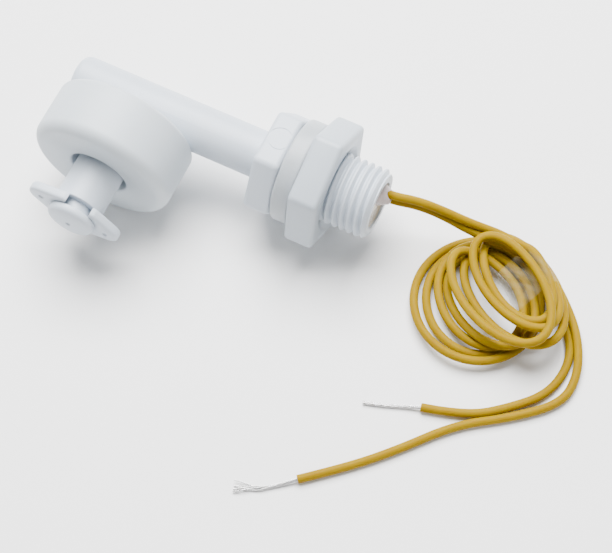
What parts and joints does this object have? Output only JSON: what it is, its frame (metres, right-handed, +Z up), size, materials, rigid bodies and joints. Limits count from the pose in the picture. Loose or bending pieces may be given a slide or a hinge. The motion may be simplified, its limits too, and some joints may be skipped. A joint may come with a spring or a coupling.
{
  "type": "float level switch",
  "caption": "Right-angle float level switch: L-shaped plastic stem with sliding ring float, retaining clip, hex flange, threaded bush, gasket, lock nut and coiled yellow leads.",
  "frame": {"origin": "on the axis of the threaded bush, in the plane of the hex flange's sealing face", "axes": "+X along the bush towards the leads, stem and float towards -Y, +Z up as the switch lies on a table"},
  "size_m": [0.1128, 0.07, 0.0284],
  "materials": {
    "polypropylene": "satin",
    "float_plastic": "satin",
    "nut_plastic": "satin",
    "silicone": "satin",
    "ferrite": "matte",
    "reed_glass": "gloss",
    "reed_metal": "satin",
    "solder": "satin",
    "sleeve": "matte",
    "resin": "gloss",
    "lead_yellow": "satin",
    "tape": "gloss",
    "tinned_copper": "satin"
  },
  "bodies": {
    "switch_body": {"body_moulding": "polypropylene", "retaining_clip": "polypropylene", "reed_glass": "reed_glass", "reed_blade_upper": "reed_metal", "reed_blade_lower": "reed_metal", "solder_joint_upper": "solder", "solder_joint_lower": "solder", "joint_sleeve_upper": "sleeve", "joint_sleeve_lower": "sleeve", "potting_resin": "resin", "inner_wire_a": "lead_yellow", "inner_wire_b": "lead_yellow", "lead_a": "lead_yellow", "lead_b": "lead_yellow", "lead_coil": "lead_yellow", "lead_tail_a": "lead_yellow", "lead_tail_b": "lead_yellow", "coil_tape": "tape", "conductor_a": "tinned_copper", "conductor_b": "tinned_copper"},
    "float": {"float_shell": "float_plastic", "float_cap": "float_plastic", "ring_magnet": "ferrite"},
    "gasket": {"gasket": "silicone"},
    "nut": {"lock_nut": "nut_plastic"}
  },
  "joints": [
    {"name": "float_travel", "type": "slide", "parent": "switch_body", "child": "float", "axis": [0, -1, 0], "range_m": [0, 0.0078]},
    {"name": "gasket_slide", "type": "slide", "parent": "switch_body", "child": "gasket", "axis": [1, 0, 0], "range_m": [0, 0.0085]},
    {"name": "nut_turn", "type": "hinge", "parent": "gasket", "child": "nut", "pos_m": [0.00674, 0, 0], "axis": [1, 0, 0], "range_deg": [0, 2016]}
  ],
  "couplings": [
    {"joint": "gasket_slide", "follows": "nut_turn", "m_per_rad": 0.00023873}
  ]
}
